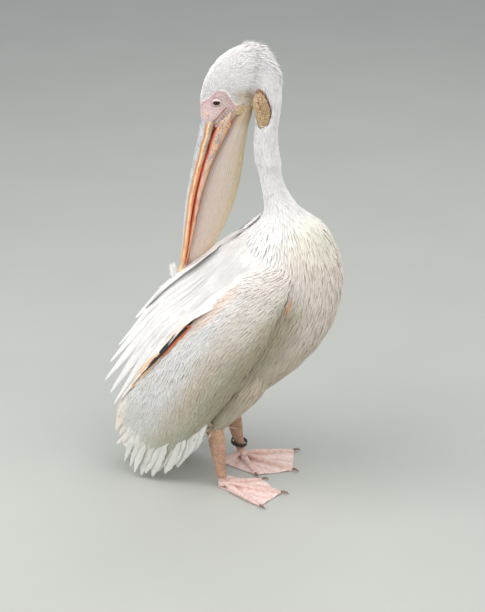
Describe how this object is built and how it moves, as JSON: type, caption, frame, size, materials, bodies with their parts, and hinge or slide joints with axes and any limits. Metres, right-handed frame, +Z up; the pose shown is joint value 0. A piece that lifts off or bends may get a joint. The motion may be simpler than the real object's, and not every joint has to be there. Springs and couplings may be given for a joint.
{
  "type": "great white pelican",
  "caption": "Life-size still model of a standing white pelican that preens with its neck hooked over and its long pouched bill laid down against its back.",
  "frame": {"origin": "on the floor, under the middle of the whole bird's outline", "axes": "+X the way the breast faces, +Y the bird's left, +Z up from the floor"},
  "size_m": [0.5657, 0.332, 1.0768],
  "materials": {
    "plumage": "matt, soft white feathers with a faint cream-pink cast",
    "flight": "matt to satin, brown-black flight feathers",
    "horn": "satin horn, blue-grey along its edges, orange, cream and red between",
    "nail": "satin orange horn",
    "pouch": "thin bare skin, pale pinkish cream turning yellow at its free edge, finely wrinkled",
    "leg": "bare scaly skin, flesh pink with orange brown toes",
    "claw": "satin brown horn",
    "eye": "wet, very dark red-brown",
    "ring": "smooth black plastic"
  },
  "bodies": {
    "root": {"head": "plumage", "crest": "plumage", "neck_upper": "plumage", "neck_middle": "plumage", "neck_lower": "plumage", "trunk": "plumage", "tail": "plumage", "thigh_left": "plumage", "thigh_right": "plumage", "wing_left": "plumage", "wing_right": "plumage", "tertials_left": "plumage", "tertials_right": "plumage", "primaries_left": "flight", "primaries_right": "flight", "bill_upper": "horn", "bill_lower": "horn", "bill_nail": "nail", "pouch": "pouch", "throat_fold": "pouch", "shank_left": "leg", "shank_right": "leg", "foot_left": "leg", "foot_right": "leg", "claw_hind_left": "claw", "claw_hind_right": "claw", "claw_inner_left": "claw", "claw_inner_right": "claw", "claw_middle_left": "claw", "claw_middle_right": "claw", "claw_outer_left": "claw", "claw_outer_right": "claw", "eye_left": "eye", "eye_right": "eye", "leg_ring": "ring"}
  },
  "joints": []
}
